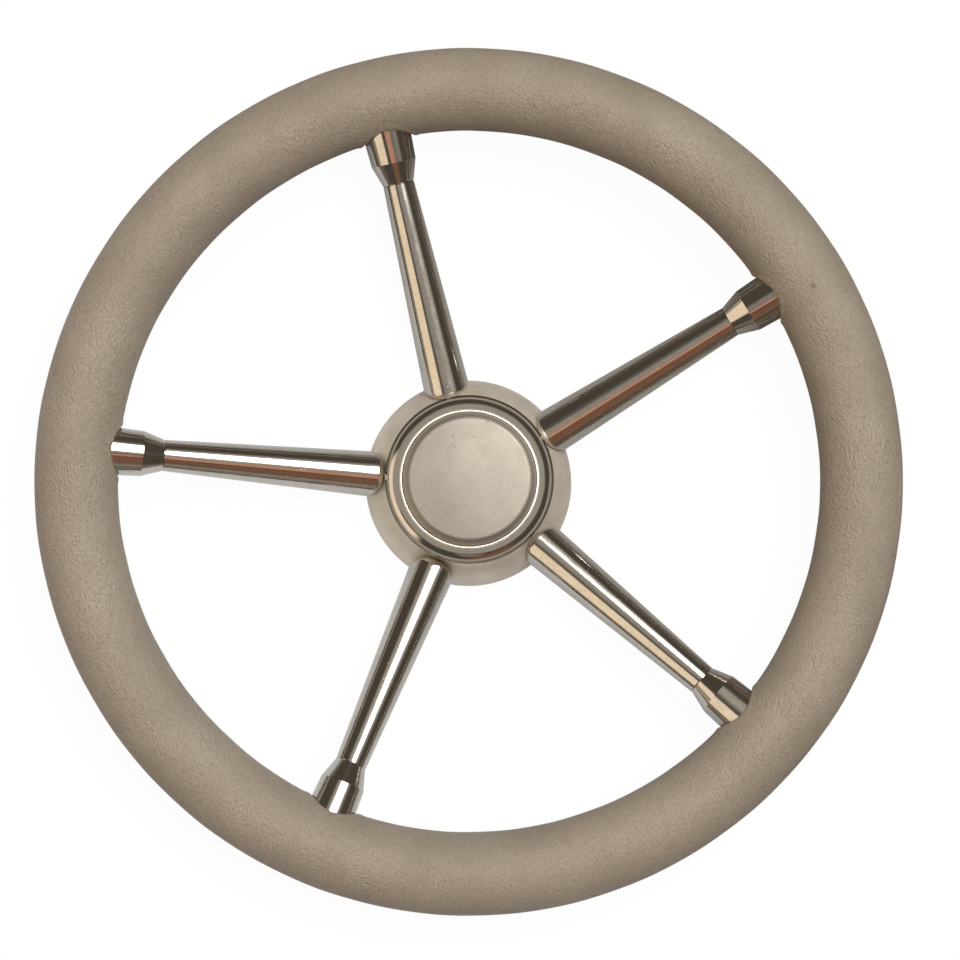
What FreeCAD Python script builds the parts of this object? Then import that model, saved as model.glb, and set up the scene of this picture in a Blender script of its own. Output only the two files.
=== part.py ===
import FreeCAD, Part
import math
import os

# Boat steering wheel with five tapered tube spokes, a foam grip and a domed hub. The spokes rise
# from the foot of the hub to the rim.
# Millimetres. The wheel lies on the hub's back face. +Z is the shaft axis, up to the side that is
# steered from, the origin is the centre of the back face, and the first spoke points along +Y.

# Rim
wheel_diameter = 350.0
grip_diameter = 33.5
rim_height = 32.0          # plane of the rim above the hub's back face
hoop_diameter = 14.0       # steel tube inside the foam
hoop_wall = 2.0

# Hub bell, the satin dome that the spokes seat on
bell_diameter = 84.5
bell_land = 2.0            # straight edge above the back face, its rounding included
bell_edge_round = 1.0
neck_diameter = 67.0       # above the dome, just inside the bezel's edge
neck_round = 8.0           # hollow between the dome and the neck
dome_below_spokes = 2.0    # from a spoke's highest line down to where the dome meets the neck
crown_height = 33.3        # the bezel's seat above the back face
pocket_diameter = 52.0     # room for the shaft nut and the spoke screws
floor_thickness = 5.0      # web between the pocket and the shaft boss's flange

# Shaft boss, a turned insert with the marine three-quarter inch taper
taper_large_diameter = 19.05
taper_per_length = 1.0 / 12.0
key_width = 4.76
key_depth = 2.38
boss_height = 24.0
boss_diameter = 30.0
flange_diameter = 60.0
flange_thickness = 5.0
boss_edge_chamfer = 0.6

# Spokes
spoke_count = 5
first_spoke_angle = 90.0
spoke_hub_diameter = 19.0
spoke_tip_diameter = 12.7
spoke_wall = 1.5
spoke_hub_height = 12.2        # of a spoke's axis above the back face, at the neck
spoke_end_round = 2.2          # over the tube and its plug, which are finished together
spoke_cope_allowance = 6.0     # length of tube inside the dome's outline, which the cope cuts off

# Ferrules between the spokes and the rim
ferrule_cone_length = 8.8
collar_length = 9.2            # from the cone to the nearest point of the foam
collar_small_diameter = 18.3
collar_large_diameter = 19.7
collar_depth_in_grip = 5.0     # how far the collar runs on under the foam
ferrule_stem_diameter = 12.0
ferrule_spigot_length = 14.0
seam_chamfer = 0.25

# Spoke plugs and the screws that draw the spokes onto the bell
plug_length = 20.0
spoke_screw_lift = 4.0         # above the tube's axis, so that the head clears the pocket's floor
spoke_screw_diameter = 5.0
spoke_screw_hole = 5.5
spoke_screw_head_diameter = 8.5
spoke_screw_head_height = 5.0
spoke_screw_reach = 16.0       # how far the screw's end lies beyond the spoke's root
spot_face_diameter = 9.0
spot_face_depth = 2.0
spoke_screw_hex = 4.0
hex_socket_depth = 2.5

# Screws that hold the shaft boss in the bell
boss_screw_circle = 45.0
boss_screw_diameter = 5.0
boss_screw_head_diameter = 9.2
boss_screw_head_depth = 2.4
boss_screw_recess = 0.15
boss_screw_hex = 3.0
boss_screw_hex_depth = 1.8

# Bezel, the polished ring round the cap
bezel_diameter = 68.0
bezel_spigot_diameter = 60.0
bezel_spigot_depth = 3.3
bezel_edge_height = 0.8        # straight edge below its chamfer
bezel_edge_chamfer = 0.9
bezel_bevel_width = 2.2
bezel_bevel_height = 1.4
bezel_bevel_hollow = 0.16      # from the straight line between the bevel's ends
bezel_step_height = 0.9        # between the bevel and the land
bezel_land_width = 2.05
bezel_lip_width = 0.8
bezel_lip_round = 0.4          # on the lip's outer side
bezel_bore_diameter = 54.5
cap_seat_diameter = 50.0
cap_seat_thickness = 1.5

# Cap
cap_side_clearance = 0.3
cap_skin = 4.0
cap_crown_radius = 230.0
cap_shoulder_radius = 3.7
cap_top_above_bezel = 4.0
cap_skirt_wall = 3.6
o_ring_section = 2.0
o_ring_clearance = 0.10
o_ring_groove_height = 2.4
o_ring_groove_side_play = 0.05
o_ring_above_seat = 3.4

# Fits between pieces that stay together
press_clearance = 0.02
through_cut = 1.0

# Sizes worked out from the ones above
rim_radius = (wheel_diameter - grip_diameter) / 2
bell_radius = bell_diameter / 2
neck_radius = neck_diameter / 2
spoke_rise = (rim_height - spoke_hub_height) / (rim_radius - neck_radius)
spoke_incline = math.degrees(math.atan(spoke_rise))
spoke_origin_height = rim_height - rim_radius * spoke_rise
along = 1 / math.cos(math.radians(spoke_incline))     # length along a spoke for each radial length
spoke_top_at_neck = spoke_hub_height + along * spoke_hub_diameter / 2
dome_height = spoke_top_at_neck - dome_below_spokes
dome_inset = bell_radius - neck_radius
dome_rise = dome_height - bell_land
dome_arc_radius = (dome_inset ** 2 + dome_rise ** 2) / (2 * dome_inset)
dome_turn = math.asin(dome_rise / dome_arc_radius)    # angle of the dome's arc
pocket_floor = flange_thickness + floor_thickness
foam_face = rim_radius * along - grip_diameter / 2     # distances along a spoke's axis
collar_start = foam_face - collar_length
spoke_tip = collar_start - ferrule_cone_length
spoke_root = neck_radius * along
spoke_inside_bell = spoke_root - spoke_cope_allowance
bezel_bore_radius = bezel_bore_diameter / 2
bezel_spigot_foot = crown_height - bezel_spigot_depth
cap_seat_height = bezel_spigot_foot + cap_seat_thickness
bezel_ledge_height = crown_height + bezel_edge_height + bezel_edge_chamfer
bezel_step_foot = bezel_ledge_height + bezel_bevel_height
bezel_land_height = bezel_step_foot + bezel_step_height
bezel_top = bezel_land_height + bezel_lip_round
cap_top = bezel_top + cap_top_above_bezel
cap_radius = bezel_bore_radius - cap_side_clearance
cap_underside = cap_top - cap_skin
o_ring_height = cap_seat_height + o_ring_above_seat
boss_screw_radius = boss_screw_circle / 2


def at(point):
    """Point of a turned outline: radius along X, height along Z."""
    return FreeCAD.Vector(point[0], 0, point[1])


def turned(outline):
    """Solid turned about Z. A step of the outline is its end point, or the pair
    (middle point, end point) of an arc. The outline closes with a straight line."""
    edges = []
    here = outline[0]
    for step in outline[1:] + [outline[0]]:
        if isinstance(step[0], tuple):
            middle, end = step
            edges.append(Part.Arc(at(here), at(middle), at(end)).toShape())
        else:
            end = step
            edges.append(Part.LineSegment(at(here), at(end)).toShape())
        here = end
    face = Part.Face(Part.Wire(edges))
    return face.revolve(FreeCAD.Vector(0, 0, 0), FreeCAD.Vector(0, 0, 1), 360)


def plain_cylinder(diameter, low, high):
    """Cylinder on the Z axis between two heights."""
    return Part.makeCylinder(diameter / 2, high - low, FreeCAD.Vector(0, 0, low))


def ring_edges(solid, radius, height):
    """The circular edges about Z that have this radius and height."""
    found = []
    for edge in solid.Edges:
        if not isinstance(edge.Curve, Part.Circle):
            continue
        centre = edge.Curve.Center
        on_axis = math.hypot(centre.x, centre.y) < 1e-4
        if on_axis and abs(centre.z - height) < 1e-4 and abs(edge.Curve.Radius - radius) < 1e-4:
            found.append(edge)
    return found


def hex_prism(across_flats, low, high):
    """Six-sided prism on the Z axis between two heights."""
    corner = across_flats / math.sqrt(3)
    points = []
    for side in range(7):
        turn = math.radians(60 * side)
        points.append(FreeCAD.Vector(corner * math.cos(turn), corner * math.sin(turn), low))
    return Part.Face(Part.makePolygon(points)).extrude(FreeCAD.Vector(0, 0, high - low))


def onto_spoke_axis():
    """Placement that tips the Z axis onto the axis of a spoke that points along +X."""
    lean = FreeCAD.Rotation(FreeCAD.Vector(0, 1, 0), 90 - spoke_incline)
    return FreeCAD.Placement(FreeCAD.Vector(0, 0, spoke_origin_height), lean)


def along_spoke(solid):
    """Tips a solid made on the Z axis onto the axis of the +X spoke."""
    tipped = solid.copy()
    tipped.Placement = onto_spoke_axis().multiply(solid.Placement)
    return tipped


def lifted(solid):
    """Moves a solid from a spoke's axis to the axis of its screw, before it is tipped."""
    moved = solid.copy()
    moved.translate(FreeCAD.Vector(-spoke_screw_lift, 0, 0))
    return moved


def about_shaft(solid, angle):
    """Turns a solid about the shaft axis by an angle in degrees."""
    turned_copy = solid.copy()
    turned_copy.rotate(FreeCAD.Vector(0, 0, 0), FreeCAD.Vector(0, 0, 1), angle)
    return turned_copy


def spoke_angle(index):
    """Direction of a spoke in degrees from +X."""
    return first_spoke_angle + index * 360 / spoke_count


def all_round(solid, shift=0.0):
    """Copies of a solid made for the +X spoke, one at each spoke's angle."""
    return [about_shaft(solid, spoke_angle(index) + shift) for index in range(spoke_count)]


def tube_radius(distance):
    """Outer radius of a spoke's tube at a distance along its axis."""
    share = (distance - spoke_root) / (spoke_tip - spoke_root)
    return (spoke_hub_diameter + share * (spoke_tip_diameter - spoke_hub_diameter)) / 2


def dome_point(turn):
    """Point of the dome where its arc has turned by an angle from the straight edge."""
    radius = bell_radius - dome_arc_radius * (1 - math.cos(turn))
    return (radius, bell_land + dome_arc_radius * math.sin(turn))


def bell_envelope():
    """The bell with nothing cut out of it."""
    corner = bell_edge_round * (1 - math.sqrt(0.5))
    bell = turned([
        (0, 0),
        (bell_radius - bell_edge_round, 0),
        ((bell_radius - corner, corner), (bell_radius, bell_edge_round)),
        (bell_radius, bell_land),
        (dome_point(dome_turn / 2), dome_point(dome_turn)),
        (neck_radius, crown_height),
        (0, crown_height),
    ])
    return bell.makeFillet(neck_round, ring_edges(bell, neck_radius, dome_height))


def make_hub_bell():
    """Domed bell with a nut pocket, a seat for the bezel and a recess for the shaft boss."""
    bell = bell_envelope()
    hollow = plain_cylinder(pocket_diameter, pocket_floor, crown_height + through_cut)
    bezel_seat = plain_cylinder(bezel_spigot_diameter, bezel_spigot_foot, crown_height + through_cut)
    flange_seat = plain_cylinder(flange_diameter + 2 * press_clearance, -through_cut, flange_thickness)
    boss_hole = plain_cylinder(boss_diameter + 2 * press_clearance, 0, pocket_floor + through_cut)
    bell = bell.cut(hollow.fuse([bezel_seat, flange_seat, boss_hole]))
    seat = screw_seat()
    screw_way = plain_cylinder(spoke_screw_hole, seat - through_cut, bell_radius * along + through_cut)
    spot_face = plain_cylinder(spot_face_diameter, seat - spoke_screw_head_height, seat)
    screw_way = lifted(screw_way.fuse(spot_face))
    thread_low, thread_high = flange_thickness - through_cut, pocket_floor + through_cut
    boss_thread = plain_cylinder(boss_screw_diameter, thread_low, thread_high)
    boss_thread.translate(FreeCAD.Vector(boss_screw_radius, 0, 0))
    cuts = all_round(along_spoke(screw_way))
    cuts += all_round(boss_thread, 180 / spoke_count)
    return bell.cut(cuts).Solids[0]


def screw_seat():
    """Distance along a spoke's axis of the spot face under a spoke screw's head."""
    return (pocket_diameter / 2 + spot_face_depth) * along


def taper_radius(height):
    """Radius of the tapered shaft hole at a height above the back face."""
    return (taper_large_diameter - height * taper_per_length) / 2


def make_shaft_boss():
    """Flanged boss with the tapered shaft hole, its keyway and five countersunk holes."""
    boss = plain_cylinder(flange_diameter, 0, flange_thickness)
    boss = boss.fuse(plain_cylinder(boss_diameter, 0, boss_height)).removeSplitter()
    edges = ring_edges(boss, boss_diameter / 2, boss_height)
    boss = boss.makeChamfer(boss_edge_chamfer, edges)
    below, above = -through_cut, boss_height + through_cut
    shaft_hole = turned([(0, below), (taper_radius(below), below), (taper_radius(above), above), (0, above)])
    key_profile = [
        (0, below),
        (taper_radius(below) + key_depth, below),
        (taper_radius(above) + key_depth, above),
        (0, above),
    ]
    key_points = [FreeCAD.Vector(-key_width / 2, y, z) for y, z in key_profile]
    keyway = Part.Face(Part.makePolygon(key_points + key_points[:1])).extrude(FreeCAD.Vector(key_width, 0, 0))
    screw_hole = boss_screw_body(0)
    screw_hole = screw_hole.fuse(plain_cylinder(boss_screw_head_diameter, below, boss_screw_recess))
    screw_hole.translate(FreeCAD.Vector(boss_screw_radius, 0, 0))
    return boss.cut([shaft_hole, keyway] + all_round(screw_hole, 180 / spoke_count))


def boss_screw_body(shortening):
    """Countersunk screw on the Z axis, head down, as a solid with no socket."""
    head = boss_screw_head_diameter / 2
    shank = boss_screw_diameter / 2
    return turned([
        (0, boss_screw_recess),
        (head, boss_screw_recess),
        (shank, boss_screw_recess + boss_screw_head_depth),
        (shank, pocket_floor - shortening),
        (0, pocket_floor - shortening),
    ])


def make_boss_screws():
    """Five countersunk screws that hold the boss from the back."""
    screw = boss_screw_body(boss_screw_recess)
    socket_low = boss_screw_recess - through_cut
    socket = hex_prism(boss_screw_hex, socket_low, boss_screw_recess + boss_screw_hex_depth)
    screw = screw.cut(socket)
    screw.translate(FreeCAD.Vector(boss_screw_radius, 0, 0))
    return Part.makeCompound(all_round(screw, 180 / spoke_count))


def cope_edges(solid):
    """Edges round the wide end of the +X spoke, where its outside meets the bell."""
    found = []
    to_axis = onto_spoke_axis().inverse()
    for edge in solid.Edges:
        middle = to_axis.multVec(edge.valueAt((edge.FirstParameter + edge.LastParameter) / 2))
        on_outside = abs(math.hypot(middle.x, middle.y) - tube_radius(middle.z)) < 0.02
        if on_outside and middle.z < spoke_root + plug_length:
            found.append(edge)
    return found


def rounded_spoke():
    """Outside of the +X spoke as a solid taper, coped to the bell, with its wide end rounded."""
    low, high = spoke_inside_bell, spoke_tip
    taper = turned([
        (0, low),
        (tube_radius(low), low),
        (tube_radius(high), high - seam_chamfer),
        (tube_radius(high) - seam_chamfer, high),
        (0, high),
    ])
    taper = along_spoke(taper).cut(about_shaft(bell_envelope(), 180))
    return taper.makeFillet(spoke_end_round, cope_edges(taper))


def inner_taper(inset, low, high):
    """Solid taper that stays this far inside a spoke's outside, between two distances."""
    return turned([(0, low), (tube_radius(low) - inset, low), (tube_radius(high) - inset, high), (0, high)])


def make_spoke():
    """Tapered tube whose wide end is coped to the bell and rounded."""
    bore = inner_taper(spoke_wall, spoke_inside_bell - through_cut, spoke_tip + through_cut)
    return rounded_spoke().cut(along_spoke(bore)).Solids[0]


def make_spoke_plug():
    """Threaded plug inside a spoke's wide end, finished flush with the tube."""
    low, high = spoke_inside_bell - through_cut, spoke_root + plug_length
    plug = inner_taper(spoke_wall + press_clearance, low, high)
    thread = lifted(plain_cylinder(spoke_screw_diameter, low - through_cut, high + through_cut))
    return rounded_spoke().common(along_spoke(plug.cut(thread))).Solids[0]


def make_spoke_screws():
    """Five socket screws, heads in the nut pocket, one beside each spoke's axis."""
    seat = screw_seat()
    top = seat - spoke_screw_head_height
    screw = plain_cylinder(spoke_screw_head_diameter, top, seat)
    shank = plain_cylinder(spoke_screw_diameter, seat - through_cut, spoke_root + spoke_screw_reach)
    screw = screw.fuse(shank)
    screw = screw.cut(hex_prism(spoke_screw_hex, top - through_cut, top + hex_socket_depth))
    return Part.makeCompound(all_round(along_spoke(lifted(screw))))


def hoop_solid(inner_diameter):
    """Rim hoop as a solid ring, or as a tube when an inner diameter is given."""
    centre = FreeCAD.Vector(0, 0, rim_height)
    ring = Part.makeTorus(rim_radius, hoop_diameter / 2, centre)
    if inner_diameter > 0:
        ring = ring.cut(Part.makeTorus(rim_radius, inner_diameter / 2, centre))
    return ring


def make_ferrule():
    """Turned ferrule: spigot in the spoke, cone, flared collar and a stem coped to the hoop."""
    collar_end = foam_face + collar_depth_in_grip
    spigot = tube_radius(spoke_tip) - spoke_wall - press_clearance
    small = spoke_tip_diameter / 2
    stem = ferrule_stem_diameter / 2
    ferrule = turned([
        (0, spoke_tip - ferrule_spigot_length),
        (spigot, spoke_tip - ferrule_spigot_length),
        (spigot, spoke_tip),
        (small - seam_chamfer, spoke_tip),
        (small, spoke_tip + seam_chamfer),
        (collar_small_diameter / 2, collar_start),
        (collar_large_diameter / 2, collar_end),
        (stem, collar_end),
        (stem, rim_radius * along),
        (0, rim_radius * along),
    ])
    return along_spoke(ferrule).cut(hoop_solid(0)).Solids[0]


def make_grip(ferrules):
    """Foam ring moulded round the hoop and the outer ends of the ferrules."""
    foam = Part.makeTorus(rim_radius, grip_diameter / 2, FreeCAD.Vector(0, 0, rim_height))
    return foam.cut([hoop_solid(0)] + ferrules)


def bevel_middle(inner, outer):
    """Middle point of the bezel's hollow bevel between two radii."""
    length = math.hypot(bezel_bevel_width, bezel_bevel_height)
    inward = bezel_bevel_hollow * bezel_bevel_height / length
    downward = bezel_bevel_hollow * bezel_bevel_width / length
    return ((inner + outer) / 2 - inward, bezel_ledge_height + bezel_bevel_height / 2 - downward)


def make_bezel_ring():
    """Polished ring with a hollow bevel, a step, a flat land and a lip, spigoted into the bell."""
    outer = bezel_diameter / 2
    spigot = bezel_spigot_diameter / 2 - press_clearance
    lip_outer = bezel_bore_radius + bezel_lip_width
    bevel_inner = lip_outer + bezel_land_width
    bevel_outer = bevel_inner + bezel_bevel_width
    round_start = lip_outer - bezel_lip_round
    round_mid = (round_start + bezel_lip_round * math.sqrt(0.5),
                 bezel_land_height + bezel_lip_round * math.sqrt(0.5))
    return turned([
        (cap_seat_diameter / 2, bezel_spigot_foot),
        (spigot, bezel_spigot_foot),
        (spigot, crown_height),
        (outer, crown_height),
        (outer, crown_height + bezel_edge_height),
        (outer - bezel_edge_chamfer, bezel_ledge_height),
        (bevel_outer, bezel_ledge_height),
        (bevel_middle(bevel_inner, bevel_outer), (bevel_inner, bezel_step_foot)),
        (bevel_inner, bezel_land_height),
        (lip_outer, bezel_land_height),
        (round_mid, (round_start, bezel_top)),
        (bezel_bore_radius, bezel_top),
        (bezel_bore_radius, cap_seat_height),
        (cap_seat_diameter / 2, cap_seat_height),
    ])


def make_centre_cap():
    """Crowned cap with a rounded shoulder and a skirt that has a groove for the sealing ring."""
    crown_edge = cap_radius - cap_shoulder_radius
    crown_drop = cap_crown_radius - math.sqrt(cap_crown_radius ** 2 - crown_edge ** 2)
    half_edge = crown_edge / 2
    half_drop = cap_crown_radius - math.sqrt(cap_crown_radius ** 2 - half_edge ** 2)
    crown_end = cap_top - crown_drop
    shoulder_low = crown_end - cap_shoulder_radius
    shoulder_mid = (crown_edge + cap_shoulder_radius * math.sqrt(0.5),
                    shoulder_low + cap_shoulder_radius * math.sqrt(0.5))
    ring_inner = bezel_bore_radius - o_ring_clearance - o_ring_section
    groove_floor = ring_inner - o_ring_groove_side_play
    groove_low = o_ring_height - o_ring_groove_height / 2
    groove_high = o_ring_height + o_ring_groove_height / 2
    return turned([
        (0, cap_underside),
        (cap_radius - cap_skirt_wall, cap_underside),
        (cap_radius - cap_skirt_wall, cap_seat_height),
        (cap_radius, cap_seat_height),
        (cap_radius, groove_low),
        (groove_floor, groove_low),
        (groove_floor, groove_high),
        (cap_radius, groove_high),
        (cap_radius, shoulder_low),
        (shoulder_mid, (crown_edge, crown_end)),
        ((half_edge, cap_top - half_drop), (0, cap_top)),
    ])


def make_cap_o_ring():
    """Rubber sealing ring in the cap's groove."""
    ring_radius = bezel_bore_radius - o_ring_clearance - o_ring_section / 2
    return Part.makeTorus(ring_radius, o_ring_section / 2, FreeCAD.Vector(0, 0, o_ring_height))


def make_parts():
    """Every piece of the wheel by name, in place."""
    ferrules = all_round(make_ferrule())
    spokes = all_round(make_spoke())
    plugs = all_round(make_spoke_plug())
    parts = {
        "grip": make_grip(ferrules),
        "rim_hoop": hoop_solid(hoop_diameter - 2 * hoop_wall),
        "hub_bell": make_hub_bell(),
        "shaft_boss": make_shaft_boss(),
        "boss_screws": make_boss_screws(),
        "spoke_screws": make_spoke_screws(),
        "bezel_ring": make_bezel_ring(),
        "centre_cap": make_centre_cap(),
        "cap_o_ring": make_cap_o_ring(),
    }
    for index in range(spoke_count):
        parts["spoke_%d" % (index + 1)] = spokes[index]
        parts["spoke_plug_%d" % (index + 1)] = plugs[index]
        parts["ferrule_%d" % (index + 1)] = ferrules[index]
    return parts


os.makedirs("parts", exist_ok=True)
for name, shape in make_parts().items():
    shape.exportStep("parts/%s.step" % name)
    print(name, len(shape.Solids), "solid", round(shape.Volume), "mm3", shape.isValid())
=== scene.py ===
# %% [markdown]
# # A boat's steering wheel, dressed for its picture
#
# The real wheel is a ring of moulded foam with a leathery skin, five polished steel tubes, and
# a satin hub whose cap pulls off to reach the shaft nut. Its metal pieces were turned and drawn
# to size, so they are right as solids already and only need their finishes. The foam skin is
# soft and has a grain, so it gets a new surface of its own.
#
# The notebook goes in this order: the solids, a way to write finishes as sums, the camera, the
# floor and the light, the grip, and then one finish after another.

# %% The solids of the wheel
import math

import bpy
import numpy as np
from mathutils import Matrix, Vector


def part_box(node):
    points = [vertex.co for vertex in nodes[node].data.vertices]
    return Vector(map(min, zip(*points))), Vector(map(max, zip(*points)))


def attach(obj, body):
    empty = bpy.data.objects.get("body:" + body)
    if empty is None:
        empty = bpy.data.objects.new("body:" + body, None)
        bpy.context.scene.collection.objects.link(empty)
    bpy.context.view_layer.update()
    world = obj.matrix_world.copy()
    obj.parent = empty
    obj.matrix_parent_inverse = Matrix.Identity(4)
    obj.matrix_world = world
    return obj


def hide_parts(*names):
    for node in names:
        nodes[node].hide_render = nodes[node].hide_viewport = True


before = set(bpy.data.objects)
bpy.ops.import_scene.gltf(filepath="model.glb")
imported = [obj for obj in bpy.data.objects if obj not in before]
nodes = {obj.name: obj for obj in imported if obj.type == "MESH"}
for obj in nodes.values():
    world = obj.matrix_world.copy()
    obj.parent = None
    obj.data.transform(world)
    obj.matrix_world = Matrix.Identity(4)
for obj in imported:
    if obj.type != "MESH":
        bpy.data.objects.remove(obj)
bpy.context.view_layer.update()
mm = 0.001
micrometre = 0.001 * mm

# %% [markdown]
# ## Finishes written as sums
#
# A finish in Blender is a net of nodes, and most of them are plain arithmetic. Such a net is
# hard to read when every node is made by hand, so here a socket is wrapped in a small class
# that knows plus, minus and times. An expression such as 1 - rings * 0.3 then adds its own Math
# nodes. Colours and vectors keep to Mix and Vector Math, because a Math node would turn a
# colour into a grey number.


# %% A socket that can be added and multiplied
class Wire:
    """One output socket. Each operator adds a Math node to the net that the socket is in."""

    def __init__(self, net, socket):
        self.net = net
        self.socket = socket

    def __add__(self, other):
        return self.net.maths("ADD", self, other)

    def __sub__(self, other):
        return self.net.maths("SUBTRACT", self, other)

    def __rsub__(self, other):
        return self.net.maths("SUBTRACT", other, self)

    def __mul__(self, other):
        return self.net.maths("MULTIPLY", self, other)

    def __abs__(self):
        return self.net.maths("ABSOLUTE", self)

    __radd__ = __add__
    __rmul__ = __mul__


# %% A net of nodes to write in
class Net:
    """A node tree with one way to add a node, and the few helpers that the finishes share."""

    def __init__(self, tree):
        self.tree = tree
        self.tree.nodes.clear()

    def node(self, kind, settings=None, inputs=None):
        """Adds a node. Its settings come first, such as an operation, and then the values or
        wires of its input sockets, by name or by number."""
        made = self.tree.nodes.new(kind)
        for name, value in (settings or {}).items():
            setattr(made, name, value)
        for name, value in (inputs or {}).items():
            if isinstance(value, Wire):
                self.tree.links.new(value.socket, made.inputs[name])
            else:
                made.inputs[name].default_value = value
        return made

    def wire(self, kind, settings=None, inputs=None, output=0):
        """The same, and gives one output of the new node as a Wire."""
        return Wire(self, self.node(kind, settings, inputs).outputs[output])

    def maths(self, operation, *values):
        """One Math node."""
        return self.wire("ShaderNodeMath", {"operation": operation}, dict(enumerate(values)))

    def vectors(self, operation, *values, output=0):
        """One Vector Math node."""
        inputs = dict(enumerate(values))
        return self.wire("ShaderNodeVectorMath", {"operation": operation}, inputs, output)

    def dot(self, first, second):
        """Product of two vectors as a number."""
        return self.vectors("DOT_PRODUCT", first, second, output="Value")

    def distance(self, first, second):
        """Distance between two points."""
        return self.vectors("DISTANCE", first, second, output="Value")

    def parts(self, vector):
        """The x, y and z of a vector."""
        made = self.node("ShaderNodeSeparateXYZ", {}, {0: vector})
        return [Wire(self, output) for output in made.outputs]

    def joined(self, x, y, z):
        """A vector from its x, y and z."""
        return self.wire("ShaderNodeCombineXYZ", {}, {0: x, 1: y, 2: z})

    def smooth(self, value, start, end):
        """An S curve that is 0 up to the start and 1 from the end on. The start may be the
        larger of the two, and then it is 1 for small values."""
        settings = {"interpolation_type": "SMOOTHSTEP"}
        if start <= end:
            return self.wire("ShaderNodeMapRange", settings, {0: value, 1: start, 2: end})
        return 1.0 - self.wire("ShaderNodeMapRange", settings, {0: value, 1: end, 2: start})

    def blend(self, share, first, second):
        """Colour that goes from the first to the second as share goes from 0 to 1."""
        colours = [c if isinstance(c, Wire) else (*c, 1.0) for c in (first, second)]
        inputs = {0: share, 6: colours[0], 7: colours[1]}
        return self.wire("ShaderNodeMix", {"data_type": "RGBA"}, inputs, 2)

    def noise(self, place, scale, detail=2.0, roughness=0.5, distortion=0.0):
        """Soft noise between 0 and 1, with so many lumps to a metre."""
        inputs = {"Vector": place, "Scale": scale, "Detail": detail,
                  "Roughness": roughness, "Distortion": distortion}
        return self.wire("ShaderNodeTexNoise", {"noise_dimensions": "3D"}, inputs)

    def scatter(self, place, scale):
        """Distance to the nearest of many scattered points, in cells. Each cell has one point,
        and there are so many cells to a metre."""
        inputs = {"Vector": place, "Scale": scale}
        return self.wire("ShaderNodeTexVoronoi", {"feature": "F1"}, inputs, "Distance")

    def bump(self, height, depth, strength=1.0, below=None):
        """Normal for a height between 0 and 1 that stands for so many metres of depth."""
        inputs = {"Height": height, "Distance": depth, "Strength": strength}
        if below is not None:
            inputs["Normal"] = below
        return self.wire("ShaderNodeBump", {}, inputs)

    def place(self):
        """Where a point is on the wheel, in metres."""
        return self.wire("ShaderNodeTexCoord", {}, {}, "Object")


print("sums are ready")


# %% A finish
def new_finish(name, fixed):
    """An empty material with a Principled shader, whose even values are set on its sockets."""
    material = bpy.data.materials.new(name)
    material.use_nodes = True
    net = Net(material.node_tree)
    shader = net.node("ShaderNodeBsdfPrincipled", {}, fixed)
    net.node("ShaderNodeOutputMaterial", {}, {"Surface": Wire(net, shader.outputs[0])})
    return material, net, shader


def feed(net, shader, **wires):
    """Leads wires into the shader's sockets. An underscore stands for the space in a name."""
    for name, wire in wires.items():
        net.tree.links.new(wire.socket, shader.inputs[name.replace("_", " ")])


def darker(colour, share):
    """The colour times a share below 1."""
    return tuple(part * share for part in colour)


# %% [markdown]
# ## The camera
#
# The picture was taken from above a wheel that lies on its back, from a little below the
# middle and a little to the left, so the front features of the hub shift up and to the right.
# The wheel is also turned in the picture: its first spoke stands 13.4 degrees past upright.
# Here the wheel keeps its own frame and the camera is rolled instead.

# %% Camera
picture_turn = math.radians(13.38)
camera_distance = 1.5
picture_width_at_rim = 387.0 * mm
lean_left, lean_down = math.radians(0.6), math.radians(2.8)
aim_right, aim_up = 4.3 * mm, -0.15 * mm
grip_low, grip_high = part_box("grip")
rim_height = (grip_low.z + grip_high.z) / 2


def from_picture(x, y, z=0.0):
    """A direction or point given by the picture's right, up and towards the viewer."""
    return Matrix.Rotation(-picture_turn, 4, "Z") @ Vector((x, y, z))


wheel_centre = Vector((0, 0, rim_height))
towards_camera = from_picture(-math.tan(lean_left), -math.tan(lean_down), 1.0).normalized()
camera_place = wheel_centre + camera_distance * towards_camera
aim = wheel_centre + from_picture(aim_right, aim_up)
forward = (aim - camera_place).normalized()
right = forward.cross(from_picture(0, 1)).normalized()
upward = right.cross(forward)

lens = bpy.data.cameras.new("camera")
lens.sensor_width = 36.0
lens.lens = lens.sensor_width * camera_distance / picture_width_at_rim
lens.clip_start = 0.05
lens.clip_end = 50.0
camera = bpy.data.objects.new("camera", lens)
bpy.context.scene.collection.objects.link(camera)
axes = Matrix((right, upward, -forward)).transposed()
camera.matrix_world = Matrix.Translation(camera_place) @ axes.to_4x4()
bpy.context.scene.camera = camera
bpy.context.scene.view_settings.view_transform = "Standard"
print("lens", round(lens.lens, 1), "mm at", camera_distance, "m")

# %% [markdown]
# ## The floor
#
# The wheel lies on a plain white table. A white surface in even light comes out a light grey,
# and the picture's ground is pure white. So rays from the camera see the floor mixed with its
# own white light, and still see the wheel's shadow on it. The tubes mirror a table that is
# bright on the picture's left and dim on its right, so for rays that metal sends on, the
# floor's own light fades from the left to the right.

# %% Floor
floor_size = 12.0
edge = floor_size / 2
floor_corners = [(-edge, -edge, 0), (edge, -edge, 0), (edge, edge, 0), (-edge, edge, 0)]
floor_mesh = bpy.data.meshes.new("floor")
floor_mesh.from_pydata(floor_corners, [], [(0, 1, 2, 3)])
floor = bpy.data.objects.new("floor", floor_mesh)
bpy.context.scene.collection.objects.link(floor)
print("floor", floor_size, "m square")

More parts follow.
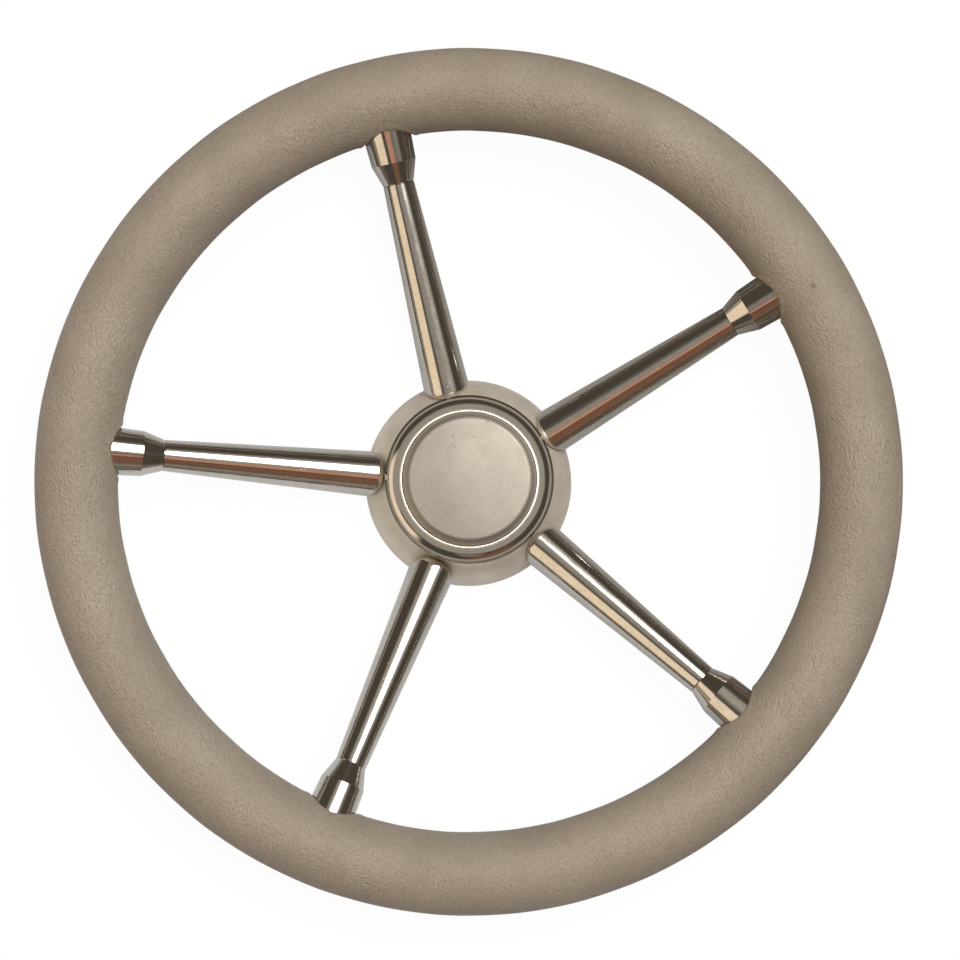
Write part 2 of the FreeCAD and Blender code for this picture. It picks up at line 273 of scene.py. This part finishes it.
# %% The floor's colour and its own light
table_colour = (0.30, 0.295, 0.285, 1)
white = (1, 1, 1, 1)
own_strength = 1.1
own_share_seen = 0.88
own_share_right, own_share_left = 0.04, 0.48
fade_start, fade_end = -120 * mm, 120 * mm
towards_bright_side = from_picture(-0.8, -0.6)


def kinds_of_ray(net):
    """Two numbers: 1 for a ray from the camera, and 1 for a ray that metal or glass sent on."""
    rays = net.node("ShaderNodeLightPath")
    seen, mirrored, through = (Wire(net, rays.outputs[name]) for name in
                               ("Is Camera Ray", "Is Glossy Ray", "Is Transmission Ray"))
    return seen, mirrored + through


floor_finish = bpy.data.materials.new("white_table")
floor_finish.use_nodes = True
net = Net(floor_finish.node_tree)
seen, sent_on = kinds_of_ray(net)
to_the_left = net.dot(net.place(), tuple(towards_bright_side))
left_side = net.smooth(to_the_left, fade_start, fade_end)
own_share_sent_on = own_share_right + left_side * (own_share_left - own_share_right)
own_share = seen * own_share_seen + sent_on * own_share_sent_on
matt = net.wire("ShaderNodeBsdfDiffuse", {}, {"Color": table_colour})
own_light = net.wire("ShaderNodeEmission", {}, {"Color": white, "Strength": own_strength})
shown = net.wire("ShaderNodeMixShader", {}, {0: own_share, 1: matt, 2: own_light})
net.node("ShaderNodeOutputMaterial", {}, {"Surface": shown})
floor_mesh.materials.append(floor_finish)
print("its own light makes", own_share_seen, "of the floor that the camera sees")

# %% [markdown]
# ## The light
#
# Polished tubes show the room they are in, so the room matters as much as the steel. Here it
# is a dark warm studio with a paler ceiling. One large soft box hangs overhead, off to the
# upper right, with a grey glow on the wall round it. A few plain cards do the rest: cream on
# the left, and copper, brown and grey below. A card could be a lamp or a glowing sheet, but
# then it has to be aimed and hidden from the camera. Here each is painted into the sky by its
# four corners, so one world holds them all.


# %% Cards in the sky
def towards(azimuth, elevation):
    """Direction of a place in the sky. The azimuth is counted in the picture, from its right."""
    turn, rise = math.radians(azimuth) - picture_turn, math.radians(elevation)
    level = math.cos(rise)
    return Vector((math.cos(turn) * level, math.sin(turn) * level, math.sin(rise)))


def card(net, sky, corners, soft_edge):
    """Mask of a card with four corners, its soft edge in degrees. A side of the card and the
    wheel's middle span a plane. The dot product of the view and that plane's normal is the
    sine of the angle between them, so an S curve of it is 0 outside the side and 1 inside.
    The mask is the product of the four."""
    places = [towards(*corner) for corner in corners]
    middle = sum(places, Vector())
    half = math.sin(math.radians(soft_edge / 2))
    sides = []
    for first, second in zip(places, places[1:] + places[:1]):
        normal = first.cross(second).normalized()
        inward = normal if normal.dot(middle) > 0 else -normal
        sides.append(net.smooth(net.dot(sky, tuple(inward)), -half, half))
    return sides[0] * sides[1] * sides[2] * sides[3]


print("the picture's right is", [round(part, 3) for part in towards(0, 0)])

# %% Colours of the room
foot_of_wall = (0.19, 0.160, 0.120)
wall = (0.088, 0.074, 0.056)
ceiling = (0.38, 0.345, 0.300)
# Where one goes over into the next, as sines of the elevation, which a direction's z is.
foot_ends = 0.30
ceiling_starts, ceiling_ends = 0.90, 0.985
horizon_fade = 0.02

# Each card has four corners by azimuth and elevation, a soft edge, and a colour. A later one
# covers those before it.
cards = {
    "cream, low on the left": ([(140, -2), (202, -2), (202, 13), (140, 11)], 10, (0.55, 0.46, 0.36)),
    "cream, on the left": ([(156, 16), (227, 14), (226, 57), (165, 55)], 9, (1.15, 0.93, 0.68)),
    "grey, low below": ([(261, 12), (281, 12), (280, 27), (262, 27)], 9, (0.33, 0.28, 0.235)),
    "brown, below": ([(272, 28), (304, 18), (308, 57), (268, 56)], 11, (0.24, 0.125, 0.078)),
    "copper, high below": ([(256, 60), (310, 59), (322, 70), (244, 73)], 5, (0.70, 0.33, 0.205)),
    "glow round the soft box": ([(72, 40), (353, 43), (326, 72), (135, 60)], 14, (0.46, 0.42, 0.36)),
    "soft box": ([(60, 50), (8, 57), (0, 74), (88, 70)], 7, (14.6, 13.9, 12.9)),
}
print(len(cards), "cards:", "; ".join(cards))

# %% Studio
world = bpy.data.worlds.new("studio")
world.use_nodes = True
bpy.context.scene.world = world
net = Net(world.node_tree)
sky = net.wire("ShaderNodeTexCoord", {}, {}, "Generated")
rise = net.parts(sky)[2]

room = net.blend(net.smooth(rise, 0.0, foot_ends), foot_of_wall, wall)
room = net.blend(net.smooth(rise, ceiling_starts, ceiling_ends), room, ceiling)
for corners, soft_edge, colour in cards.values():
    room = net.blend(card(net, sky, corners, soft_edge), room, colour)

seen, sent_on = kinds_of_ray(net)
under_horizon = net.smooth(rise, horizon_fade, 0.0)
backdrop = net.maths("MINIMUM", seen + sent_on * under_horizon, 1.0)
lit = net.wire("ShaderNodeBackground", {}, {"Color": room, "Strength": 1.0})
plain = net.wire("ShaderNodeBackground", {}, {"Color": white, "Strength": 1.0})
shown = net.wire("ShaderNodeMixShader", {}, {0: backdrop, 1: lit, 2: plain})
net.node("ShaderNodeOutputWorld", {}, {"Surface": shown})
print("the studio's world has", len(world.node_tree.nodes), "nodes")

# %% [markdown]
# ## The grip
#
# The grip is foam moulded round a steel hoop, 33.5 mm thick, with a skin that copies leather.
# As a solid it is a plain ring. The real one is never quite even: it swells a little between
# the spokes, and where a steel collar goes in, the foam closes round it with a soft lip. Such
# a surface is easy to give as a sum, so it is made with numpy: two angles say where a point is
# on the ring, and a few small waves and dips say how far it stands out.

# %% Sizes of the grip and places of the spokes
grip_radius = (grip_high.z - grip_low.z) / 2
ring_radius = grip_high.x - grip_radius
collar_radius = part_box("ferrule_1")[1].x
spoke_lift = math.radians(9.02)
spoke_count = 5
spoke_angles = np.radians(90 + 360 / spoke_count * np.arange(spoke_count))
print("ring", round(ring_radius / mm, 2), "tube", round(grip_radius / mm, 2),
      "collar", round(collar_radius / mm, 2), "mm")

# %% Sizes of its waves and lips
closer_at_spokes, closer_inside = 0.11, 0.35
# Each wave has a height in mm, a count round the ring, a count round the section and a start.
waves = [(0.05, 7, 2, 0.0), (0.04, 23, -1, 1.0), (0.03, 41, 3, 2.0)]
# The lip and the dip are in mm too, and away and gap count from the collar's wall.
lip_height, lip_away, lip_width = 0.30, 1.6, 1.1
dip_depth, dip_width, deepest_gap = 0.75, 0.6, -3
print("highest lip", lip_height, "mm")


# %% The grip as a surface of two angles
def on_ring(around, section, radius):
    """Points round the ring's centre line. The reach is the ring's radius plus the tube's
    radius times the section angle's cosine, and the height has its sine instead."""
    reach = ring_radius + radius * np.cos(section)
    x, y = reach * np.cos(around), reach * np.sin(around)
    z = rim_height + radius * np.sin(section)
    return np.stack(np.broadcast_arrays(x, y, z), axis=-1)


def lip_round_collar(points, section, angle):
    """Height in mm that the foam gains near one spoke's collar. It depends on the gap between a
    point and the collar's wall: plus a bell curve that is highest a little way off, minus a
    narrower one at the wall. The outer half of the ring has none."""
    level, lift = math.cos(spoke_lift), math.sin(spoke_lift)
    along = np.array([np.cos(angle) * level, np.sin(angle) * level, lift])
    start = np.array([0, 0, rim_height - ring_radius * math.tan(spoke_lift)])
    offset = points - start
    length = offset @ along
    beside = np.sqrt(np.maximum((offset ** 2).sum(axis=-1) - length ** 2, 0.0))
    gap = (beside - collar_radius) / mm
    near = (length > 0) & (np.cos(section) < 0)
    lip = lip_height * np.exp(-((gap - lip_away) / lip_width) ** 2)
    dip = dip_depth * np.exp(-(np.maximum(gap, deepest_gap) / dip_width) ** 2)
    return near * (lip - dip)


def grip_surface(round_count, section_count):
    """Points of the grip on a grid of two angles.

    Round the ring the steps are closer at the spokes, so that the lips get more points: the
    angle is t minus a share of sin 5t, counted from a spoke. Round the section they are closer
    on the inner side in the same way. The tube's radius is changed by three small waves, each
    a sine of both angles, and by the lip round each collar."""
    t = np.arange(round_count) * 2 * np.pi / round_count
    around = (t - closer_at_spokes * np.sin(spoke_count * t) + spoke_angles[0])[:, None]
    s = np.arange(section_count) * 2 * np.pi / section_count
    section = (s + closer_inside * np.sin(s))[None, :]
    plain_ring = on_ring(around, section, grip_radius)
    swell = sum(height * np.sin(round_ring * around + round_section * section + start)
                for height, round_ring, round_section, start in waves)
    lips = sum(lip_round_collar(plain_ring, section, angle) for angle in spoke_angles)
    return on_ring(around, section, grip_radius + (swell + lips) * mm).reshape(-1, 3)


def closed_grid_faces(rows, columns):
    """Four-sided faces of a grid that closes on itself both ways, each turned outwards."""
    row, column = np.meshgrid(np.arange(rows), np.arange(columns), indexing="ij")
    next_row, next_column = (row + 1) % rows, (column + 1) % columns
    corners = [row * columns + column, next_row * columns + column,
               next_row * columns + next_column, row * columns + next_column]
    return np.stack(corners, axis=-1).reshape(-1, 4)


# %% Put the grip's surface into a mesh
round_count, section_count = 900, 100
grip_points = grip_surface(round_count, section_count)
grip_faces = closed_grid_faces(round_count, section_count)
grip_mesh = bpy.data.meshes.new("grip_skin")
grip_mesh.from_pydata(grip_points.tolist(), [], grip_faces.tolist())
grip_mesh.polygons.foreach_set("use_smooth", np.ones(len(grip_faces), dtype=bool))
grip_mesh.update()
grip = bpy.data.objects.new("grip_skin", grip_mesh)
bpy.context.scene.collection.objects.link(grip)
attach(grip, "wheel")
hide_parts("grip")
face = grip_mesh.polygons[0]
outward = face.normal.dot(Vector((face.center.x, face.center.y, 0)))
print(2 * len(grip_faces), "triangles, outward" if outward > 0 else "triangles, INSIDE OUT")

# %% [markdown]
# ## The grip's skin
#
# The skin is a warm grey-brown. Close up it is covered with pebbles under a millimetre across,
# and between them run short creases that flow in one direction for a few centimetres and then
# turn. The pebbles come from the distance to the nearest of many scattered points. The creases
# are noise folded at its middle value: the fold makes a thin valley wherever the noise crosses
# one half. The place that both are read at is first pushed about by a slower noise, which
# turns the flow. All of it is a bump, and painted shade darkens the creases and the gaps
# between the pebbles.

# %% Leather grain
creases_to_a_metre, pebbles_to_a_metre, pores_to_a_metre = 760.0, 1300.0, 2400.0
turns_to_a_metre, push = 22.0, 18 * mm
flow_turn, flow_stretch = (0.3, 0.5, 0.9), (1.0, 0.60, 0.85)
crease_width, grain_depth = 0.11, 0.36 * mm
crease_share, pebble_share, pore_share = 0.26, -0.90, 0.34

material, net, shader = new_finish("foam_skin", {"Specular IOR Level": 0.60, "IOR": 1.5})
place = net.place()
drift = net.wire("ShaderNodeTexNoise", {"noise_dimensions": "3D"},
                 {"Vector": place, "Scale": turns_to_a_metre, "Detail": 1.0}, "Color")
pushed = net.vectors("MULTIPLY_ADD", drift, (push, push, push), place)
flow = net.wire("ShaderNodeMapping", {},
                {"Vector": pushed, "Rotation": flow_turn, "Scale": flow_stretch})
crease_noise = net.noise(flow, creases_to_a_metre, detail=1.0, distortion=0.25)
folded = net.smooth(abs(crease_noise - 0.5), 0.0, crease_width)
pebble = net.scatter(flow, pebbles_to_a_metre)
pores = net.noise(place, pores_to_a_metre)
height = folded * crease_share + pebble * pebble_share + pores * pore_share
print("creases about", round(1000 / creases_to_a_metre, 1), "mm apart")

# %% Colours of the skin
skin_brown, skin_pale = (0.350, 0.308, 0.257), (0.396, 0.350, 0.296)
crease_shade_colour = (0.215, 0.175, 0.130)
shade_in_creases, shade_between_pebbles = 0.12, 0.30
stain_place = from_picture(137.4 * mm, 77.1 * mm, rim_height + 16.4 * mm)
stain_radius, stain_core, stain_ragged = 1.7 * mm, 0.5 * mm, 1.4 * mm
stain_colour, stain_strength = (0.13, 0.11, 0.095), 0.55

patches = net.smooth(net.noise(place, 38.0, detail=3.0), 0.30, 0.72)
tone = net.blend(patches, skin_brown, skin_pale)
# Painted shade: the creases and the gaps between the pebbles are darkened towards the dark colour,
# standing in for the shade in the leather's relief.
between = net.smooth(pebble, 0.40, 0.80)
painted_shade = (1 - folded) * shade_in_creases + between * shade_between_pebbles
tone = net.blend(painted_shade, tone, crease_shade_colour)
away = net.distance(place, tuple(stain_place)) + (net.noise(place, 900.0) - 0.5) * stain_ragged
stain = net.smooth(away, stain_radius, stain_core)
tone = net.blend(stain * stain_strength, tone, stain_colour)
roughness = 0.38 + net.noise(place, 300.0) * 0.12 - folded * 0.05
feed(net, shader, Base_Color=tone, Roughness=roughness, Normal=net.bump(height, grain_depth))
grip_mesh.materials.append(material)
print("one stain,", round(2 * stain_radius / mm, 1), "mm across")

# %% [markdown]
# ## Polished steel
#
# The tubes, the ferrules and the bezel are steel polished to a mirror. What shows in a mirror
# is the room, and then the small faults: a slow waviness from the polishing wheel, fine lines
# along the tube, a few pits, and a faint haze that changes from place to place. The five
# spokes share one finish. Its lines follow each spoke because the place is first folded: the
# angle about the shaft is wrapped every 72 degrees, so all spokes read the same strip.


# %% Place along the nearest spoke
def shaft_distance(net, place):
    """Distance from the shaft, the square root of x squared plus y squared."""
    x, y, _ = net.parts(place)
    return net.maths("SQRT", x * x + y * y)


def along_nearest_spoke(net, place):
    """Distance along the nearest spoke, distance across it, and height. The angle about the
    shaft is counted from a spoke and wrapped every 72 degrees, so half of that is the most it
    can be. Along is the radius times its cosine, and across is the radius times its sine."""
    x, y, z = net.parts(place)
    half_step = math.pi / spoke_count
    angle = net.maths("ARCTAN2", y, x) - float(spoke_angles[0])
    left = net.maths("WRAP", angle, half_step, -half_step)
    radius = shaft_distance(net, place)
    return radius * net.maths("COSINE", left), radius * net.maths("SINE", left), z


def polished(name, colour, haze, pit_share, line_depth):
    """Mirror steel. Colour is its reflection, haze its roughness where it is clearest, pit_share
    how many pits show, and line_depth the depth of the polishing lines. These are noise that is
    drawn out some thirty times along the spoke."""
    material, net, shader = new_finish(name, {"Metallic": 1.0})
    place = net.place()
    along, across, z = along_nearest_spoke(net, place)
    drawn_out = 0.03
    strip = net.joined(along * drawn_out, across, z)
    lines = net.noise(strip, 2400.0, detail=3.0, roughness=0.6)
    waviness = net.noise(place, 55.0, detail=1.0)
    pitted_area = net.smooth(net.noise(place, 160.0), 1 - pit_share, 1 - pit_share + 0.12)
    pits = net.smooth(net.scatter(place, 1100.0), 0.16, 0.06) * pitted_area
    clouds = net.noise(place, 110.0)
    mottle = net.smooth(net.noise(place, 640.0, detail=3.0, roughness=0.65), 0.42, 0.66)

    normal = net.bump(waviness, 20 * micrometre)
    normal = net.bump(lines, line_depth, below=normal)
    normal = net.bump(1 - pits, 30 * micrometre, strength=0.8, below=normal)
    tone = net.blend(net.smooth(clouds, 0.35, 0.7), colour, darker(colour, 0.93))
    tone = net.blend(mottle * 0.4, tone, darker(colour, 0.76))
    tone = net.blend(pits * 0.8, tone, darker(colour, 0.45))
    roughness = haze + net.smooth(clouds, 0.30, 0.75) * 0.05 + pits * 0.1 + (lines - 0.5) * 0.03
    feed(net, shader, Base_Color=tone, Roughness=roughness, Normal=normal)
    return material


steel = (0.68, 0.655, 0.615)
spoke_steel = polished("polished_spoke", steel, haze=0.062, pit_share=0.42,
                       line_depth=0.45 * micrometre)
ferrule_steel = polished("polished_ferrule", steel, haze=0.060, pit_share=0.38,
                         line_depth=0.40 * micrometre)
print("two mirror steels")

# %% [markdown]
# ## The hub, its bezel and its cap
#
# The hub's dome was blasted to a satin. The bezel was polished on a lathe, and only its lip is
# a pale satin, made paler than the steel by a painted highlight. The cap's face was brushed
# while it turned, which leaves fine rings. Rings depend only on the distance from the shaft, so
# their noise is read at that distance. A slow noise over the face lets them fade in and out, and
# a share of the direction breaks them into arcs, as where the brush pressed less. The cap's
# rounded shoulder gets bands, each between two distances from the shaft: the innermost is
# painted shade, a crisp ring darker than the face, and the outer two are painted light that
# makes the shoulder paler towards its edge, where the bezel's lip shades it.


# %% Rings about the shaft
def rings(net, place, distance, to_a_metre, detail, breaks):
    """Noise in rings. Its first coordinate is the distance from the shaft, and the other two are
    the point's direction, which goes round without a seam. A large share of the direction
    breaks the rings into arcs."""
    flat = net.vectors("MULTIPLY", place, (1.0, 1.0, 0.0))
    x, y, _ = net.parts(net.vectors("NORMALIZE", flat))
    spread = net.joined(distance * to_a_metre, x * breaks, y * breaks)
    return net.noise(spread, 1.0, detail, roughness=0.7)


# %% Satin dome
def satin(name, colour, rough, depth):
    """Blasted metal: an even fine grain, with soft darker clouds and small rubbed spots."""
    material, net, shader = new_finish(name, {"Metallic": 1.0})
    place = net.place()
    grain = net.noise(place, 4200.0, detail=3.0, roughness=0.7)
    cloud = net.noise(place, 70.0, detail=3.0)
    rubbed = net.smooth(net.scatter(place, 520.0), 0.12, 0.03)
    tone = net.blend(net.smooth(cloud, 0.3, 0.75), colour, darker(colour, 0.86))
    tone = net.blend(rubbed * 0.5, tone, darker(colour, 0.55))
    roughness = rough + (grain - 0.5) * 0.14 + cloud * 0.06
    feed(net, shader, Base_Color=tone, Roughness=roughness, Normal=net.bump(grain, depth))
    return material


bell_satin = satin("satin_bell", (0.94, 0.895, 0.810), rough=0.60, depth=8 * micrometre)
print("satin bell")


# %% A scratch
def scratch(net, place, start, end, width):
    """Mask of a short scratch from its start to its end. A point's distance from it is its
    distance from the nearest point of the line, whose share along the line is the dot product
    of the two divided by the line's length squared, held between 0 and 1."""
    line = Vector(end) - Vector(start)
    offset = net.vectors("SUBTRACT", place, start)
    share = net.dot(offset, tuple(line / line.length_squared))
    held = net.wire("ShaderNodeClamp", {}, {0: share})
    nearest = net.wire("ShaderNodeVectorMath", {"operation": "SCALE"},
                       {0: tuple(line), "Scale": held})
    return net.smooth(net.distance(offset, nearest), width, width * 0.3)


# %% Turned and brushed faces
def turned_face(name, colour, rough, to_a_metre, depth, marks=(), bands=(), speckle=0.0):
    """Metal with rings about the shaft. Bands are rings of another colour and roughness, which here
    carry painted shade and painted highlights: two radii, the width of its soft edges, a colour and
    a roughness. Speckle is how much fine grain shows.
    Marks are short scratches, each a start and an end on the face and a width."""
    material, net, shader = new_finish(name, {"Metallic": 1.0})
    place = net.place()
    distance = shaft_distance(net, place)
    fine = rings(net, place, distance, to_a_metre, detail=2.0, breaks=5.0)
    coarse = rings(net, place, distance, to_a_metre * 0.3, detail=1.0, breaks=2.0)
    fade = 0.55 + net.noise(place, 85.0) * 0.9
    ring = (fine * 0.6 + coarse * 0.4 - 0.5) * fade
    cloud = net.noise(place, 50.0, detail=3.0)
    grain = net.smooth(net.noise(place, 1500.0, roughness=0.7), 0.45, 0.75)

    tone = net.blend(net.smooth(cloud, 0.3, 0.75), colour, darker(colour, 0.90))
    tone = net.blend(net.smooth(ring, 0.04, 0.20) * 0.5, tone, darker(colour, 0.80))
    tone = net.blend(grain * speckle, tone, darker(colour, 0.78))
    roughness = rough + ring * 0.30 + (cloud - 0.5) * 0.06
    normal = net.bump(ring + 0.5, depth)
    for inner, outer, soft, band_colour, band_rough in bands:
        from_inner = net.smooth(distance, inner - soft, inner + soft)
        to_outer = net.smooth(distance, outer + soft, outer - soft)
        inside = from_inner * to_outer
        tone = net.blend(inside, tone, band_colour)
        roughness = roughness + inside * (band_rough - rough)
    for start, end, width in marks:
        mark = scratch(net, place, start, end, width)
        tone = net.blend(mark * 0.60, tone, darker(colour, 0.50))
        normal = net.bump(1 - mark, 40 * micrometre, below=normal)
    feed(net, shader, Base_Color=tone, Roughness=roughness, Normal=normal)
    return material


crown_drop = 1.0 * mm
cap_face_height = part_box("centre_cap")[1].z - crown_drop


def on_cap(x, y):
    """Point of the cap's face from the picture's millimetres right of and above its middle."""
    return tuple(from_picture(x * mm, y * mm, cap_face_height))


# %% Finishes of the cap, the bezel and the boss
# Each mark has a start, an end and a width.
cap_marks = [
    (on_cap(-6.9, 17.2), on_cap(-6.2, 14.4), 0.60 * mm),
    (on_cap(-6.4, 13.2), on_cap(-5.3, 11.6), 0.90 * mm),
    (on_cap(7.1, 23.2), on_cap(7.3, 23.0), 0.80 * mm),
]
past_the_cap = 40 * mm
# Each band has an inner and an outer radius, a soft edge, a colour and a roughness.
# Painted shade and light: the first band darkens the shoulder from its crisp inner edge, and the two
# paler bands lighten its outer part, where the bezel's lip shades it.
shoulder_shade_and_light_bands = [
    (24.2 * mm, past_the_cap, 0.10 * mm, (0.345, 0.322, 0.292), 0.58),
    (25.4 * mm, past_the_cap, 0.45 * mm, (0.500, 0.468, 0.425), 0.64),
    (26.4 * mm, past_the_cap, 0.45 * mm, (0.800, 0.750, 0.680), 0.70),
]
# Painted highlight: the lip's band is a rougher satin, and its colour, paler than any steel, keeps
# the lip bright all round.
lip_satin_highlight_bands = [(27.2 * mm, 28.1 * mm, 0.08 * mm, (0.92, 0.885, 0.82), 0.40)]
cap_brushed = turned_face("brushed_cap", (0.44, 0.416, 0.378), rough=0.60, to_a_metre=3600.0,
                          depth=12 * micrometre, marks=cap_marks, bands=shoulder_shade_and_light_bands,
                          speckle=0.5)
bezel_polished = turned_face("polished_bezel", steel, rough=0.05, to_a_metre=2600.0,
                             depth=0.6 * micrometre, bands=lip_satin_highlight_bands)
boss_turned = turned_face("turned_steel", (0.58, 0.56, 0.53), rough=0.26, to_a_metre=2800.0,
                          depth=10 * micrometre)
print(len(cap_marks), "marks and", len(shoulder_shade_and_light_bands), "bands on the cap")

# %% [markdown]
# ## What is inside and behind
#
# The screws, the plugs, the hoop and the rubber ring show only from the back, or when the cap
# is off. They still get their own finishes: the screws are plain bright steel, a little cloudy
# and specked, the hoop is drawn tube under foam, and the rubber is matt black. The plugs are
# turned like the boss and share its finish.


# %% Plain steel and rubber
def plain_metal(name, colour, rough, scale):
    """Steel as it comes from the mill or the screw maker: cloudy, with small dull specks."""
    material, net, shader = new_finish(name, {"Metallic": 1.0})
    place = net.place()
    cloud = net.noise(place, scale, detail=3.0, roughness=0.6)
    specks = net.smooth(net.scatter(place, scale * 6), 0.2, 0.05)
    tone = net.blend(net.smooth(cloud, 0.35, 0.7), colour, darker(colour, 0.72))
    tone = net.blend(specks * 0.5, tone, darker(colour, 0.4))
    roughness = rough + cloud * 0.14 + specks * 0.1
    feed(net, shader, Base_Color=tone, Roughness=roughness, Normal=net.bump(cloud, 20 * micrometre))
    return material


def matt_rubber(name, black, dusty):
    """Rubber: nearly black, rough, with patches of fine dust."""
    material, net, shader = new_finish(name, {"Specular IOR Level": 0.35})
    dust = net.noise(net.place(), 900.0, detail=3.0)
    tone = net.blend(net.smooth(dust, 0.45, 0.75), black, dusty)
    feed(net, shader, Base_Color=tone, Roughness=0.55 + dust * 0.2,
         Normal=net.bump(dust, 20 * micrometre))
    return material


screw_bright = plain_metal("screw_steel", (0.56, 0.545, 0.52), rough=0.20, scale=420.0)
hoop_drawn = plain_metal("hoop_steel", (0.50, 0.48, 0.45), rough=0.32, scale=260.0)
rubber = matt_rubber("seal_rubber", (0.018, 0.018, 0.019), (0.06, 0.058, 0.055))
print("inner finishes ready")

# %% Dress each solid
finishes = {
    "hub_bell": bell_satin,
    "bezel_ring": bezel_polished,
    "centre_cap": cap_brushed,
    "cap_o_ring": rubber,
    "shaft_boss": boss_turned,
    "boss_screws": screw_bright,
    "spoke_screws": screw_bright,
    "rim_hoop": hoop_drawn,
    "grip": grip_mesh.materials[0],
}
for number in range(1, spoke_count + 1):
    finishes["spoke_%d" % number] = spoke_steel
    finishes["ferrule_%d" % number] = ferrule_steel
    finishes["spoke_plug_%d" % number] = boss_turned
for name, finish in finishes.items():
    for slot in nodes[name].material_slots:
        slot.material = finish
print(len(finishes), "solids dressed,", sorted(set(nodes) - set(finishes)), "left bare")
